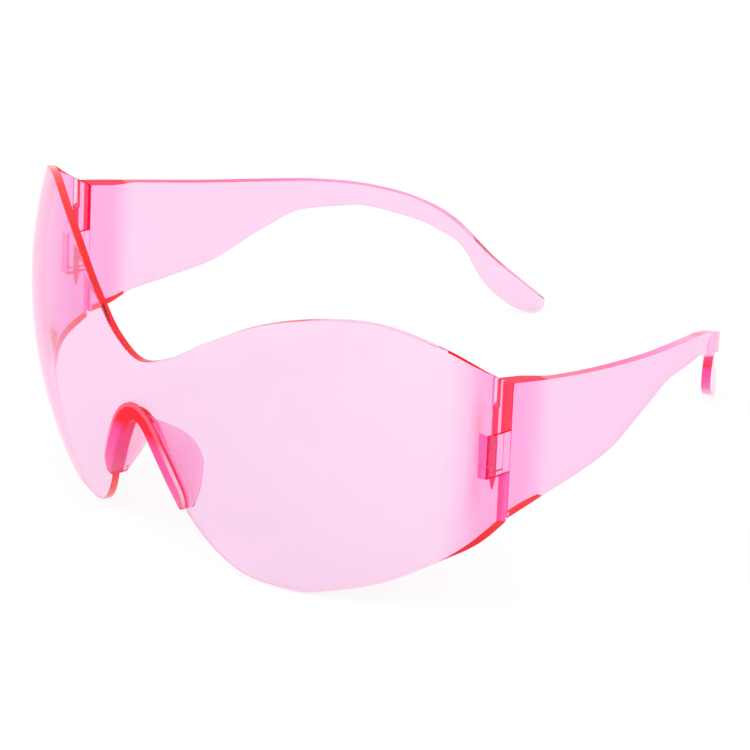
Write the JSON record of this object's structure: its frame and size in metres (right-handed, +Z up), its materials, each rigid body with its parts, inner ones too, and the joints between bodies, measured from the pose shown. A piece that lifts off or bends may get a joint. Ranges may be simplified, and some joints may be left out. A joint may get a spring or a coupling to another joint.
{
  "type": "sunglasses",
  "caption": "Oversized one-piece shield sunglasses in clear pink plastic, with a clip-on nose piece and hooked temples that fold on screwed hinges.",
  "frame": {"origin": "on the surface that the glasses stand on, under the middle of the bounding box", "axes": "+X to the wearer's left, +Y towards the temple tips, +Z up; the glasses face -Y"},
  "size_m": [0.148, 0.1444, 0.066],
  "materials": {
    "pink_plastic": "polished, clear, tinted pink",
    "clear_pink_plastic": "smooth, clear, tinted pink, soft",
    "steel": "plain"
  },
  "bodies": {
    "front": {"shield_lens": "pink_plastic", "nose_piece": "clear_pink_plastic", "left_hinge_screw": "steel", "right_hinge_screw": "steel"},
    "left_temple": {"left_temple": "pink_plastic"},
    "right_temple": {"right_temple": "pink_plastic"}
  },
  "joints": [
    {"name": "left_temple_fold", "type": "hinge", "parent": "front", "child": "left_temple", "pos_m": [0.07152, -0.03276, 0.03683], "axis": [0, 0.1049, 0.9945], "range_deg": [0, 79]},
    {"name": "right_temple_fold", "type": "hinge", "parent": "front", "child": "right_temple", "pos_m": [-0.07152, -0.03276, 0.03683], "axis": [0, -0.1049, -0.9945], "range_deg": [0, 66]}
  ]
}
